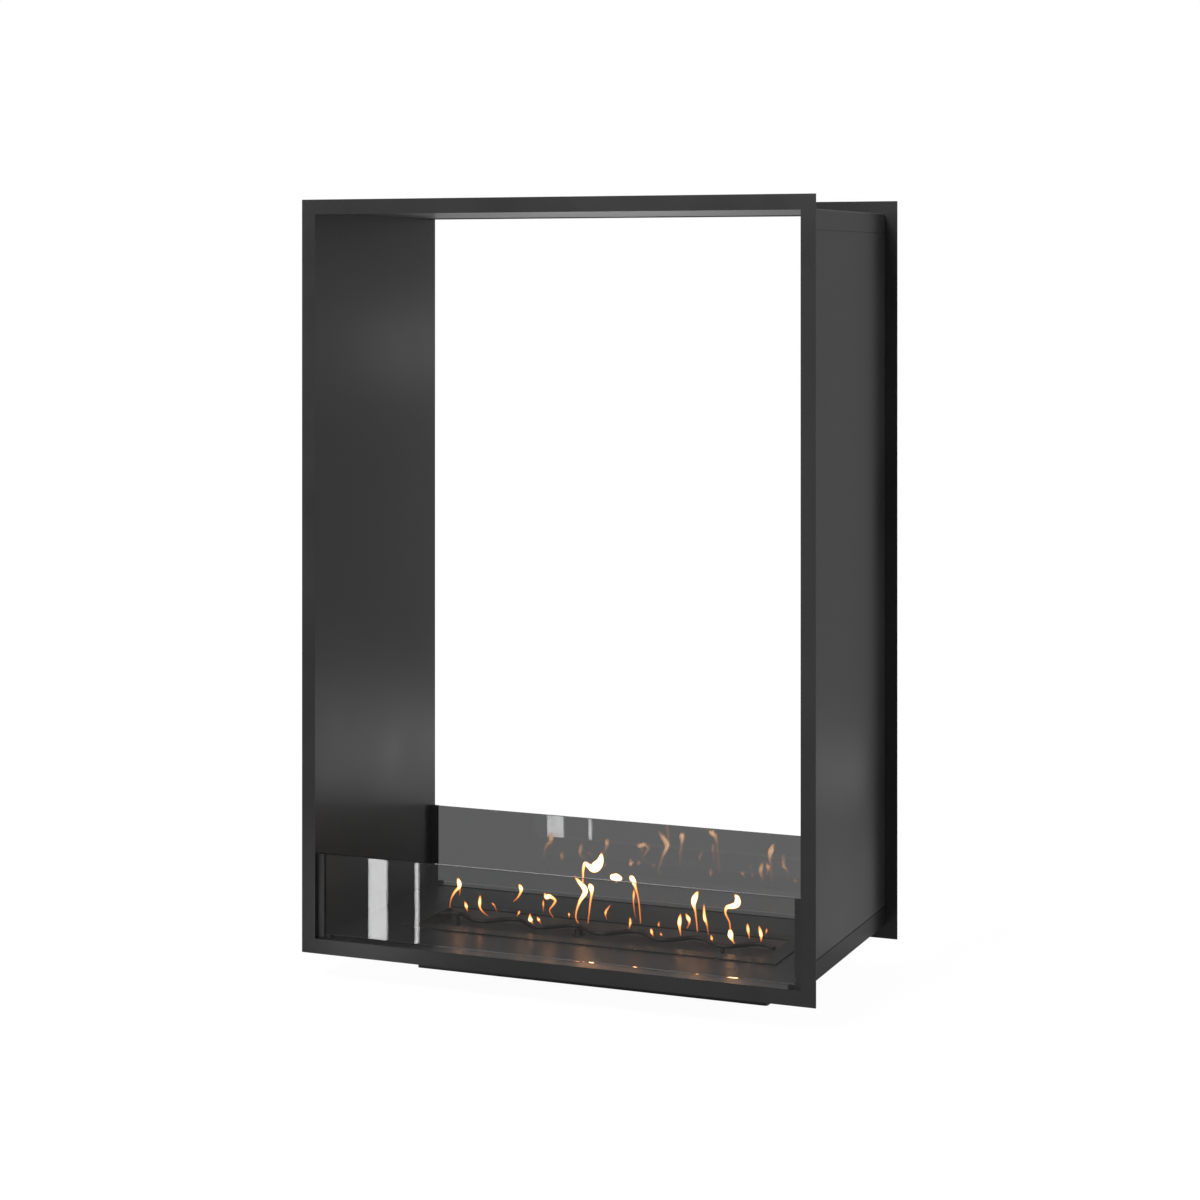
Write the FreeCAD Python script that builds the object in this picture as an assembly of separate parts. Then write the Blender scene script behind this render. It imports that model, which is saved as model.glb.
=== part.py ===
import FreeCAD, Part
import math
import os

# See-through fireplace insert with a spirit burner, built from folded sheet steel.
# Millimetres. +Z is up, the front frame faces -Y, and the origin lies under the
# middle of the burner tank, on the surface that the tank stands on.

# Trim frames on the two open sides, each welded to a collar that reaches into the opening
FRAME_WIDTH = 1000.0
FRAME_HEIGHT = 1400.0
OVERALL_DEPTH = 510.0
FRAME_FACE = 27.5
FRAME_SHEET = 2.0
COLLAR_SHEET = 1.5
COLLAR_DEPTH = 25.0

# Casing between the frames
CASE_SHEET = 2.0
PAN_LEG = 36.5
SEAM_GAP = 1.5
BEND_RADIUS = 4.0

# Low glass panes, the channels that hold their ends and the pads they stand on
GLASS_THICK = 6.0
GLASS_HEIGHT = 150.0
GLASS_ARRIS = 0.8
GLASS_SETBACK = 15.0
GLASS_SIDE_PLAY = 0.5
GLASS_END_PLAY = 1.0
GUIDE_SHEET = 1.5
GUIDE_LEG = 14.0
PAD_HEIGHT = 6.0
PAD_LENGTH = 22.0
PAD_INSET = 13.0

# Burner tank hung in the deck, and the rim that covers the cut-out
TANK_DROP = 58.0
TANK_LENGTH = 702.0
TANK_WIDTH = 147.0
TANK_SHEET = 2.0
TANK_CORNER = 6.0
TANK_FIT = 1.0
RIM_SHEET = 2.0
RIM_LAP_ENDS = 27.0
RIM_LAP_SIDES = 30.0
RIM_REACH_ENDS = 6.0
RIM_REACH_SIDES = 3.0
RIM_CORNER = 3.0

# Bed plate inside the tank and the angle rails that carry it
BED_SINK = 22.0
BED_SHEET = 2.0
BED_FIT = 1.0
RAIL_LEG = 12.0
RAIL_SHEET = 1.5
RAIL_END_SPACE = 10.0

# Wave tube that the flames burn on, with closed ends. Flats stand for its round section.
TUBE_RADIUS = 4.0
TUBE_FLATS = 16
TUBE_END_SPACE = 11.4
WAVE_DEPTH = 19.5
WAVE_HALVES = 11
WAVE_SLOPE = 44.0

# Risers that carry the tube, counted in half pitches from the middle
RISER_LEFT_STEP = -5
RISER_RIGHT_STEP = 4
RISER_RADIUS = 4.0
SPIGOT_RADIUS = 2.5
SPIGOT_DROP = 4.0
SPIGOT_PLAY = 0.3
SADDLE_PLAY = 0.15

# Flat vapour channel under the bed
MANIFOLD_WIDTH = 16.0
MANIFOLD_HEIGHT = 12.0
MANIFOLD_SHEET = 1.5
MANIFOLD_END = 12.0

# Igniter behind the tube, counted in half pitches from the middle
IGNITER_STEP = -1
IGNITER_GAP = 6.0
CERAMIC_RADIUS = 3.0
CERAMIC_HEIGHT = 16.0
ELECTRODE_RADIUS = 1.0
ELECTRODE_HEIGHT = 7.0
BRACKET_WIDTH = 16.0
BRACKET_DEPTH = 18.0
BRACKET_HEIGHT = 12.0
BRACKET_SHEET = 1.5
BRACKET_PLAY = 0.3

# Fuel reservoir on the tank floor, with its filler neck through the bed
RESERVOIR_SIDE_SPACE = 5.5
RESERVOIR_HEIGHT = 46.0
RESERVOIR_SHEET = 1.5
RESERVOIR_CORNER = 8.0
RESERVOIR_END_SPACE = 9.0
FILLER_END_SPACE = 140.0
FILLER_SIDE_SPACE = 24.5
NECK_RADIUS = 11.0
NECK_WALL = 2.0
NECK_RISE = 6.0
NECK_HOLE_PLAY = 0.4

# Filler cap
CAP_RADIUS = 15.0
CAP_HEIGHT = 5.0
CAP_EDGE = 1.0
CAP_GRIP_LENGTH = 22.0
CAP_GRIP_WIDTH = 4.0
CAP_GRIP_HEIGHT = 3.0
CAP_SPIGOT_DROP = 8.0
CAP_SPIGOT_PLAY = 0.3

# Pump, pipes and control box
PUMP_RADIUS = 18.0
PUMP_HEIGHT = 38.0
PUMP_SPACE = 40.0
CONTROL_PUMP_SPACE = 63.0
PIPE_RADIUS = 3.0
PIPE_WALL = 0.8
SUCTION_HEIGHT = 10.0
CONTROL_LENGTH = 130.0
CONTROL_WIDTH = 100.0
CONTROL_HEIGHT = 38.0
CONTROL_SHEET = 1.5
CONTROL_END_SPACE = 20.0
LID_LAP = 1.5

# Levels and half sizes that follow from the sizes above
half_width = FRAME_WIDTH / 2
half_depth = OVERALL_DEPTH / 2
frame_top = TANK_DROP + FRAME_HEIGHT
case_half_depth = half_depth - FRAME_SHEET
collar_end = case_half_depth - COLLAR_DEPTH
opening_half = half_width - FRAME_FACE
shell_inner = opening_half + COLLAR_SHEET
shell_outer = shell_inner + CASE_SHEET
opening_low = TANK_DROP + FRAME_FACE
opening_high = frame_top - FRAME_FACE
deck_top = opening_low - COLLAR_SHEET
deck_under = deck_top - CASE_SHEET
ceiling_under = opening_high + COLLAR_SHEET
roof_top = ceiling_under + CASE_SHEET
lower_seam = deck_under + PAN_LEG
upper_seam = roof_top - PAN_LEG
guide_width = GLASS_THICK + 2 * GLASS_SIDE_PLAY + 2 * GUIDE_SHEET
glass_plane = half_depth - GLASS_SETBACK
glass_half = opening_half - GUIDE_SHEET - GLASS_END_PLAY
glass_low = opening_low + PAD_HEIGHT
glass_high = glass_low + GLASS_HEIGHT
tank_half_x = TANK_LENGTH / 2
tank_half_y = TANK_WIDTH / 2
tank_inner_x = tank_half_x - TANK_SHEET
tank_inner_y = tank_half_y - TANK_SHEET
tank_floor = TANK_SHEET
rim_top = deck_top + RIM_SHEET
bed_top = rim_top - BED_SINK
bed_under = bed_top - BED_SHEET
tube_z = rim_top
wave_length = TANK_LENGTH - 2 * TUBE_END_SPACE
half_pitch = wave_length / WAVE_HALVES
quarter = half_pitch / 2
slope = math.radians(WAVE_SLOPE)
manifold_low = bed_under - MANIFOLD_HEIGHT
control_x1 = tank_inner_x - CONTROL_END_SPACE
control_x0 = control_x1 - CONTROL_LENGTH
control_top = tank_floor + CONTROL_HEIGHT
pump_x = control_x0 - CONTROL_PUMP_SPACE - PUMP_RADIUS
pump_top = tank_floor + PUMP_HEIGHT
reservoir_x0 = -tank_inner_x + RESERVOIR_END_SPACE
reservoir_x1 = pump_x - PUMP_RADIUS - PUMP_SPACE
reservoir_half = tank_inner_y - RESERVOIR_SIDE_SPACE
filler_x = reservoir_x0 + FILLER_END_SPACE
filler_y = -tank_inner_y + FILLER_SIDE_SPACE
reservoir_top = tank_floor + RESERVOIR_HEIGHT
neck_top = bed_top + NECK_RISE
neck_bore = NECK_RADIUS - NECK_WALL


def at(x, y, z):
    return FreeCAD.Vector(x, y, z)


def block(x0, x1, y0, y1, z0, z1):
    """A box between two corners, given in any order."""
    x0, x1 = sorted((x0, x1))
    y0, y1 = sorted((y0, y1))
    z0, z1 = sorted((z0, z1))
    return Part.makeBox(x1 - x0, y1 - y0, z1 - z0, at(x0, y0, z0))


def rounded(box, radius):
    """The box with its four upright edges rounded."""
    upright = [edge for edge in box.Edges if abs(edge.tangentAt(edge.FirstParameter).z) > 0.99]
    return box.makeFillet(radius, upright)


def slab(half_x, half_y, z0, z1):
    """A plate centred on the Z axis."""
    return block(-half_x, half_x, -half_y, half_y, z0, z1)


def pin(radius, x, y, z0, z1):
    """An upright round bar."""
    return Part.makeCylinder(radius, z1 - z0, at(x, y, z0))


def frame(face):
    """One trim frame: the flat ring that lies on the wall round an opening. The front's face is -1."""
    ring = block(-half_width, half_width, face * half_depth, face * case_half_depth, TANK_DROP, frame_top)
    opening = block(-opening_half, opening_half, face * half_depth, face * case_half_depth,
                    opening_low, opening_high)
    return ring.cut(opening)


def collar(face):
    """The folded sleeve behind a trim frame, which fits inside the pans and the side panels."""
    sleeve = block(-shell_inner, shell_inner, face * case_half_depth, face * collar_end,
                   deck_top, ceiling_under)
    opening = block(-opening_half, opening_half, face * case_half_depth, face * collar_end,
                    opening_low, opening_high)
    return sleeve.cut(opening)


def pan(web_z, leg_z):
    """A U-shaped pan the full width of the casing, with both long edges folded towards leg_z."""
    shell = block(-shell_outer, shell_outer, -case_half_depth, case_half_depth, web_z, leg_z)
    folds = []
    for edge in shell.Edges:
        middle = edge.CenterOfMass
        if abs(middle.z - web_z) < 1e-6 and abs(abs(middle.x) - shell_outer) < 1e-6:
            folds.append(edge)
    shell = shell.makeFillet(BEND_RADIUS, folds)
    web_inside = web_z + math.copysign(CASE_SHEET, leg_z - web_z)
    return shell.cut(block(-shell_inner, shell_inner, -case_half_depth, case_half_depth, web_inside, leg_z))


def deck_pan():
    cut_out = slab(tank_half_x + TANK_FIT, tank_half_y + TANK_FIT, deck_under, deck_top)
    return pan(deck_under, lower_seam).cut(rounded(cut_out, TANK_CORNER + TANK_FIT))


def side_panel(side):
    return block(side * shell_inner, side * shell_outer, -case_half_depth, case_half_depth,
                 lower_seam + SEAM_GAP, upper_seam - SEAM_GAP)


def liner(side):
    """The smooth inner wall between the two collars."""
    return block(side * opening_half, side * shell_inner, -collar_end, collar_end, deck_top, ceiling_under)


def guide(face, side):
    """One upright channel on the collar, open towards the pane."""
    middle = face * glass_plane
    tip = side * (opening_half - GUIDE_LEG)
    web = side * (opening_half - GUIDE_SHEET)
    slot_half = guide_width / 2 - GUIDE_SHEET
    channel = block(side * opening_half, tip, middle - guide_width / 2, middle + guide_width / 2,
                    opening_low, glass_high)
    return channel.cut(block(web, tip, middle - slot_half, middle + slot_half, opening_low, glass_high))


def glass(face):
    middle = face * glass_plane
    pane = block(-glass_half, glass_half, middle - GLASS_THICK / 2, middle + GLASS_THICK / 2,
                 glass_low, glass_high)
    return pane.makeChamfer(GLASS_ARRIS, pane.Edges)


def glass_pads(face):
    """The two soft blocks that a pane stands on."""
    middle = face * glass_plane
    pads = []
    for side in (-1, 1):
        x = side * (glass_half - PAD_INSET)
        pads.append(block(x - PAD_LENGTH / 2, x + PAD_LENGTH / 2,
                          middle - GLASS_THICK / 2, middle + GLASS_THICK / 2, opening_low, glass_low))
    return Part.makeCompound(pads)


def burner_rim():
    plate = slab(tank_half_x + RIM_LAP_ENDS, tank_half_y + RIM_LAP_SIDES, deck_top, rim_top)
    opening = slab(tank_half_x - RIM_REACH_ENDS, tank_half_y - RIM_REACH_SIDES, deck_top, rim_top)
    return rounded(plate, RIM_CORNER).cut(rounded(opening, RIM_CORNER))


def burner_tank():
    box = rounded(slab(tank_half_x, tank_half_y, 0, deck_top), TANK_CORNER)
    hollow = rounded(slab(tank_inner_x, tank_inner_y, tank_floor, deck_top), TANK_CORNER - TANK_SHEET)
    return box.cut(hollow)


def riser_place(step):
    """Where the wave turns, half pitches from the middle: even steps lie in front, odd ones behind."""
    return step * half_pitch, WAVE_DEPTH if step % 2 else -WAVE_DEPTH


def bed_plate():
    bed = slab(tank_inner_x - BED_FIT, tank_inner_y - BED_FIT, bed_under, bed_top)
    bed = rounded(bed, TANK_CORNER - TANK_SHEET)
    for step in (RISER_LEFT_STEP, RISER_RIGHT_STEP):
        x, y = riser_place(step)
        bed = bed.cut(pin(SPIGOT_RADIUS + SPIGOT_PLAY, x, y, bed_under, bed_top))
    return bed.cut(pin(NECK_RADIUS + NECK_HOLE_PLAY, filler_x, filler_y, bed_under, bed_top))


def bed_rail(face):
    """An angle on the tank's long wall, with its level leg under the bed."""
    half = tank_inner_x - RAIL_END_SPACE
    wall = face * tank_inner_y
    level = block(-half, half, wall, wall - face * RAIL_LEG, bed_under - RAIL_SHEET, bed_under)
    upright = block(-half, half, wall, wall - face * RAIL_SHEET, bed_under - RAIL_LEG, bed_under)
    return level.fuse(upright).removeSplitter()


def wave_straight():
    """Half the straight run between two bends, and the bends' radius, for the pitch, depth and slope."""
    lean = (1 - math.cos(slope)) / math.sin(slope)
    run = (WAVE_DEPTH - quarter * lean) / (math.sin(slope) - math.cos(slope) * lean)
    return run, (quarter - run * math.cos(slope)) / math.sin(slope)


def tube_section(centre, along):
    """The tube's section at a point of its middle line, square to the line."""
    up = at(0, 0, 1)
    across = along.cross(up)
    corners = []
    for k in range(TUBE_FLATS):
        turn = 2 * math.pi * k / TUBE_FLATS
        corners.append(centre + (across * math.cos(turn) + up * math.sin(turn)) * TUBE_RADIUS)
    return Part.Face(Part.makePolygon(corners + corners[:1]))


def wave_tube():
    """Round bends joined by straight runs, one bend for each half wave. The closed inside is left solid."""
    run, radius = wave_straight()
    pieces = []
    for half in range(WAVE_HALVES):
        x, y = riser_place(half - (WAVE_HALVES - 1) // 2)
        outward = math.copysign(1, y)
        before = at(math.cos(slope), outward * math.sin(slope), 0)
        after = at(math.cos(slope), -outward * math.sin(slope), 0)
        start = at(x - quarter, 0, tube_z)
        bend_start = start + before * run
        bend_stop = at(x + quarter, 0, tube_z) - after * run
        bend_middle = at(x, y - outward * radius, tube_z)
        bend = tube_section(bend_start, before).revolve(bend_middle, at(0, 0, -outward), 2 * WAVE_SLOPE)
        pieces.append(tube_section(start, before).extrude(before * run))
        pieces.append(bend)
        pieces.append(tube_section(bend_stop, after).extrude(after * run))
    return pieces[0].multiFuse(pieces[1:]).removeSplitter()


def riser(step):
    """A post on the bed, with a saddle for the tube's bend and a spigot down to the manifold."""
    x, y = riser_place(step)
    bend_radius = wave_straight()[1]
    drift = bend_radius - math.sqrt(bend_radius ** 2 - RISER_RADIUS ** 2)
    body = pin(RISER_RADIUS, x, y, bed_top, tube_z)
    body = body.fuse(pin(SPIGOT_RADIUS, x, y, bed_under - SPIGOT_DROP, bed_top))
    saddle = Part.makeCylinder(TUBE_RADIUS + drift + SADDLE_PLAY, 2 * RISER_RADIUS,
                               at(x - RISER_RADIUS, y, tube_z), at(1, 0, 0))
    return body.cut(saddle)


def manifold_bar(half_width_across, end, z0, z1):
    """A bar under the bed from the left riser to the right one, with some length past both."""
    left = at(*riser_place(RISER_LEFT_STEP), z0)
    right = at(*riser_place(RISER_RIGHT_STEP), z0)
    along = (right - left).normalize()
    across = at(-along.y, along.x, 0) * half_width_across
    start = left - along * end
    stop = right + along * end
    outline = [start - across, stop - across, stop + across, start + across, start - across]
    return Part.Face(Part.makePolygon(outline)).extrude(at(0, 0, z1 - z0))


def vapour_manifold():
    """A closed flat channel against the bed, open to both risers and to the feed pipe."""
    channel = manifold_bar(MANIFOLD_WIDTH / 2, MANIFOLD_END, manifold_low, bed_under)
    hollow = manifold_bar(MANIFOLD_WIDTH / 2 - MANIFOLD_SHEET, MANIFOLD_END - MANIFOLD_SHEET,
                          manifold_low + MANIFOLD_SHEET, bed_under - MANIFOLD_SHEET)
    channel = channel.cut(hollow)
    for step in (RISER_LEFT_STEP, RISER_RIGHT_STEP):
        x, y = riser_place(step)
        channel = channel.cut(pin(SPIGOT_RADIUS + SPIGOT_PLAY, x, y, bed_under - MANIFOLD_SHEET, bed_under))
    inlet = pin(PIPE_RADIUS - PIPE_WALL, pump_x, manifold_y(pump_x),
                manifold_low, manifold_low + MANIFOLD_SHEET)
    return channel.cut(inlet)


def manifold_y(x):
    """The middle of the manifold at x."""
    x0, y0 = riser_place(RISER_LEFT_STEP)
    x1, y1 = riser_place(RISER_RIGHT_STEP)
    return y0 + (y1 - y0) * (x - x0) / (x1 - x0)


def igniter_place():
    x, y = riser_place(IGNITER_STEP)
    return x, y + math.copysign(TUBE_RADIUS + IGNITER_GAP + ELECTRODE_RADIUS, y)


def igniter():
    """A ceramic stem with a thin electrode beside the tube."""
    x, y = igniter_place()
    foot = bed_top + BRACKET_SHEET
    stem_top = foot + CERAMIC_HEIGHT
    stem = pin(CERAMIC_RADIUS, x, y, foot, stem_top)
    return stem.fuse(pin(ELECTRODE_RADIUS, x, y, stem_top, stem_top + ELECTRODE_HEIGHT))


def igniter_bracket():
    """A folded foot under the stem with an upright behind it."""
    x, y = igniter_place()
    front = y - CERAMIC_RADIUS - BRACKET_PLAY
    back = front + BRACKET_DEPTH
    upright = y + CERAMIC_RADIUS + BRACKET_PLAY
    foot = block(x - BRACKET_WIDTH / 2, x + BRACKET_WIDTH / 2, front, back, bed_top, bed_top + BRACKET_SHEET)
    stay = block(x - BRACKET_WIDTH / 2, x + BRACKET_WIDTH / 2, upright, upright + BRACKET_SHEET,
                 bed_top, bed_top + BRACKET_HEIGHT)
    return foot.fuse(stay).removeSplitter()


def fuel_reservoir():
    half = reservoir_half
    box = rounded(block(reservoir_x0, reservoir_x1, -half, half, tank_floor, reservoir_top), RESERVOIR_CORNER)
    wall = RESERVOIR_SHEET
    hollow = block(reservoir_x0 + wall, reservoir_x1 - wall, -half + wall, half - wall,
                   tank_floor + wall, reservoir_top - wall)
    hollow = rounded(hollow, RESERVOIR_CORNER - wall)
    body = box.fuse(pin(NECK_RADIUS, filler_x, filler_y, reservoir_top, neck_top)).cut(hollow)
    outlet_z = tank_floor + SUCTION_HEIGHT
    outlet = Part.makeCylinder(PIPE_RADIUS - PIPE_WALL, wall,
                               at(reservoir_x1 - wall, manifold_y(pump_x), outlet_z), at(1, 0, 0))
    return body.cut(pin(neck_bore, filler_x, filler_y, reservoir_top - wall, neck_top)).cut(outlet)


def filler_cap():
    """A round cap with a grip bar, turning on a spigot in the neck."""
    disc = pin(CAP_RADIUS, filler_x, filler_y, neck_top, neck_top + CAP_HEIGHT)
    top_edge = [edge for edge in disc.Edges if abs(edge.CenterOfMass.z - neck_top - CAP_HEIGHT) < 1e-6]
    disc = disc.makeChamfer(CAP_EDGE, top_edge)
    grip = block(filler_x - CAP_GRIP_LENGTH / 2, filler_x + CAP_GRIP_LENGTH / 2,
                 filler_y - CAP_GRIP_WIDTH / 2, filler_y + CAP_GRIP_WIDTH / 2,
                 neck_top + CAP_HEIGHT, neck_top + CAP_HEIGHT + CAP_GRIP_HEIGHT)
    spigot = pin(neck_bore - CAP_SPIGOT_PLAY, filler_x, filler_y, neck_top - CAP_SPIGOT_DROP, neck_top)
    return disc.fuse(grip).fuse(spigot).removeSplitter()


def fuel_pump():
    y = manifold_y(pump_x)
    body = pin(PUMP_RADIUS, pump_x, y, tank_floor, pump_top)
    port = Part.makeCylinder(PIPE_RADIUS + PIPE_WALL, PUMP_RADIUS + PIPE_RADIUS,
                             at(pump_x - PUMP_RADIUS - PIPE_RADIUS, y, tank_floor + SUCTION_HEIGHT),
                             at(1, 0, 0))
    return body.fuse(port)


def pipe(start, direction, length):
    outer = Part.makeCylinder(PIPE_RADIUS, length, start, direction)
    return outer.cut(Part.makeCylinder(PIPE_RADIUS - PIPE_WALL, length, start, direction))


def suction_pipe():
    """From the reservoir's end wall to the pump's port."""
    start = at(reservoir_x1, manifold_y(pump_x), tank_floor + SUCTION_HEIGHT)
    return pipe(start, at(1, 0, 0), PUMP_SPACE - PIPE_RADIUS)


def feed_pipe():
    """From the pump's top to the manifold's floor."""
    return pipe(at(pump_x, manifold_y(pump_x), pump_top), at(0, 0, 1), manifold_low - pump_top)


def control_box():
    half = CONTROL_WIDTH / 2
    wall = CONTROL_SHEET
    box = block(control_x0, control_x1, -half, half, tank_floor, control_top)
    hollow = block(control_x0 + wall, control_x1 - wall, -half + wall, half - wall,
                   tank_floor + wall, control_top)
    return box.cut(hollow)


def control_lid():
    half = CONTROL_WIDTH / 2 + LID_LAP
    return block(control_x0 - LID_LAP, control_x1 + LID_LAP, -half, half,
                 control_top, control_top + CONTROL_SHEET)


def save(shape, node):
    shape.exportStep("parts/" + node + ".step")


os.makedirs("parts", exist_ok=True)

faces = ((-1, "front"), (1, "rear"))
sides = ((-1, "left"), (1, "right"))

for face, face_word in faces:
    save(frame(face), face_word + "_frame")
    save(collar(face), face_word + "_collar")
    save(glass(face), face_word + "_glass")
    save(glass_pads(face), face_word + "_glass_pads")
    save(bed_rail(face), "bed_rail_" + face_word)
    for side, side_word in sides:
        save(guide(face, side), face_word + "_guide_" + side_word)
for side, side_word in sides:
    save(side_panel(side), side_word + "_side_panel")
    save(liner(side), side_word + "_liner")
save(pan(roof_top, upper_seam), "top_pan")
save(deck_pan(), "deck_pan")
save(burner_rim(), "burner_rim")
save(burner_tank(), "burner_tank")
save(bed_plate(), "bed_plate")
save(wave_tube(), "wave_tube")
save(riser(RISER_LEFT_STEP), "riser_left")
save(riser(RISER_RIGHT_STEP), "riser_right")
save(vapour_manifold(), "vapour_manifold")
save(igniter(), "igniter")
save(igniter_bracket(), "igniter_bracket")
save(fuel_reservoir(), "fuel_reservoir")
save(filler_cap(), "filler_cap")
save(fuel_pump(), "fuel_pump")
save(suction_pipe(), "suction_pipe")
save(feed_pipe(), "feed_pipe")
save(control_box(), "control_box")
save(control_lid(), "control_lid")
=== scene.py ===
import math

import bmesh
import bpy
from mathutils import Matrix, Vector


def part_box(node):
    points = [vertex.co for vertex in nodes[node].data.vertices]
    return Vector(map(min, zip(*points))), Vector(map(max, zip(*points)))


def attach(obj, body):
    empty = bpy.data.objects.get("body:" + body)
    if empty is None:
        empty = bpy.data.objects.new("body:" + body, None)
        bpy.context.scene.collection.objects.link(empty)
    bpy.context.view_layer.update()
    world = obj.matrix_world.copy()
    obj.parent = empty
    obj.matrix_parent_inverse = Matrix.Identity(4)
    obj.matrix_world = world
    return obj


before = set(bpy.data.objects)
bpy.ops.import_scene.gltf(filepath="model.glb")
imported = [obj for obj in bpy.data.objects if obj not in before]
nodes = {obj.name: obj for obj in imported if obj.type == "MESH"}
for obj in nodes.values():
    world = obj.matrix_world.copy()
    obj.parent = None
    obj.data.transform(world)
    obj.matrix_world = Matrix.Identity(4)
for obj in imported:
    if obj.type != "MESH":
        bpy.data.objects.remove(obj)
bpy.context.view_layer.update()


# Folded sheet of the shell: the two trim frames, the pans, the side panels and the liners.
# Mild steel sheet, folded and spot-welded, then sprayed with satin black powder and baked.
# The coat has a faint orange-peel grain and uneven patches. The deck is wiped often and its grain is flatter.
COAT_COLOUR = (0.0165, 0.0165, 0.017)
COAT_WORN_COLOUR = (0.024, 0.024, 0.0245)
COAT_WIPED_COLOUR = (0.01, 0.01, 0.0103)
COAT_GRAIN_SIZE = 0.0011
COAT_PATCH_SIZE = 0.19
COAT_PATCH_LOW = 0.3
COAT_PATCH_HIGH = 0.7
COAT_GRAIN_HEIGHT = 0.00006
COAT_GRAIN_STRENGTH = 0.35
COAT_ROUGH = 0.29
COAT_ROUGH_SHIFT = 0.05
COAT_WIPED_ROUGH = 0.28
COAT_WIPED_HEIGHT = 0.00003
COAT_WIPED_GLOSS = 0.2


def add_node(tree, kind, place, **values):
    """Adds one node to a tree and sets its named properties."""
    node = tree.nodes.new(kind)
    node.location = place
    for name, value in values.items():
        setattr(node, name, value)
    return node


def new_group(name, inputs, outputs):
    """An empty shader group with named number inputs and named outputs."""
    group = bpy.data.node_groups.new(name, "ShaderNodeTree")
    for socket, kind, start in inputs:
        made = group.interface.new_socket(socket, in_out="INPUT", socket_type=kind)
        made.default_value = start
    for socket, kind in outputs:
        group.interface.new_socket(socket, in_out="OUTPUT", socket_type=kind)
    return group, group.nodes.new("NodeGroupInput"), group.nodes.new("NodeGroupOutput")


def make_coat_grain():
    """Fine grain for the height of a bump, and broad patches that shift colour and roughness."""
    group, given, result = new_group(
        "coat_grain",
        (("Grain Size", "NodeSocketFloat", COAT_GRAIN_SIZE),
         ("Patch Size", "NodeSocketFloat", COAT_PATCH_SIZE),
         ("Colour", "NodeSocketColor", (*COAT_COLOUR, 1)),
         ("Worn Colour", "NodeSocketColor", (*COAT_WORN_COLOUR, 1)),
         ("Roughness", "NodeSocketFloat", COAT_ROUGH),
         ("Roughness Shift", "NodeSocketFloat", COAT_ROUGH_SHIFT)),
        (("Colour", "NodeSocketColor"), ("Roughness", "NodeSocketFloat"), ("Height", "NodeSocketFloat")))
    link = group.links.new
    where = add_node(group, "ShaderNodeTexCoord", (-900, 0))
    per_grain = add_node(group, "ShaderNodeMath", (-700, 200), operation="DIVIDE")
    per_grain.inputs[0].default_value = 1.0
    link(given.outputs["Grain Size"], per_grain.inputs[1])
    per_patch = add_node(group, "ShaderNodeMath", (-700, -200), operation="DIVIDE")
    per_patch.inputs[0].default_value = 1.0
    link(given.outputs["Patch Size"], per_patch.inputs[1])
    grain = add_node(group, "ShaderNodeTexNoise", (-450, 200))
    grain.inputs["Detail"].default_value = 3.0
    link(where.outputs["Object"], grain.inputs["Vector"])
    link(per_grain.outputs[0], grain.inputs["Scale"])
    patch = add_node(group, "ShaderNodeTexNoise", (-450, -200))
    patch.inputs["Detail"].default_value = 4.0
    link(where.outputs["Object"], patch.inputs["Vector"])
    link(per_patch.outputs[0], patch.inputs["Scale"])
    spread = add_node(group, "ShaderNodeMapRange", (-200, -200))
    spread.inputs["From Min"].default_value = COAT_PATCH_LOW
    spread.inputs["From Max"].default_value = COAT_PATCH_HIGH
    link(patch.outputs["Fac"], spread.inputs["Value"])
    colour = add_node(group, "ShaderNodeMix", (50, 0), data_type="RGBA")
    link(spread.outputs["Result"], colour.inputs["Factor"])
    link(given.outputs["Colour"], colour.inputs["A"])
    link(given.outputs["Worn Colour"], colour.inputs["B"])
    shift = add_node(group, "ShaderNodeMath", (50, -300), operation="MULTIPLY_ADD")
    link(spread.outputs["Result"], shift.inputs[0])
    link(given.outputs["Roughness Shift"], shift.inputs[1])
    link(given.outputs["Roughness"], shift.inputs[2])
    link(colour.outputs["Result"], result.inputs["Colour"])
    link(shift.outputs[0], result.inputs["Roughness"])
    link(grain.outputs["Fac"], result.inputs["Height"])
    return group


coat_grain = make_coat_grain()


def new_material(name):
    """A material with its Principled shader and tree at hand."""
    material = bpy.data.materials.new(name)
    material.use_nodes = True
    return material, material.node_tree, material.node_tree.nodes["Principled BSDF"]


def coated_steel(name, colour, worn, rough, grain_size, grain_height, metallic=0.0, gloss=0.5):
    """Steel under a sprayed coat, or bare steel with the same kind of grain."""
    material, tree, shader = new_material(name)
    grain = add_node(tree, "ShaderNodeGroup", (-500, 0), node_tree=coat_grain)
    grain.inputs["Colour"].default_value = (*colour, 1)
    grain.inputs["Worn Colour"].default_value = (*worn, 1)
    grain.inputs["Roughness"].default_value = rough
    grain.inputs["Grain Size"].default_value = grain_size
    bump = add_node(tree, "ShaderNodeBump", (-250, -250))
    bump.inputs["Strength"].default_value = COAT_GRAIN_STRENGTH
    bump.inputs["Distance"].default_value = grain_height
    shader.inputs["Metallic"].default_value = metallic
    shader.inputs["Specular IOR Level"].default_value = gloss
    tree.links.new(grain.outputs["Colour"], shader.inputs["Base Color"])
    tree.links.new(grain.outputs["Roughness"], shader.inputs["Roughness"])
    tree.links.new(grain.outputs["Height"], bump.inputs["Height"])
    tree.links.new(bump.outputs["Normal"], shader.inputs["Normal"])
    return material


def finish_nodes(material, *names):
    """Gives CAD pieces their finish."""
    for name in names:
        mesh = nodes[name].data
        mesh.materials.clear()
        mesh.materials.append(material)


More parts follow.
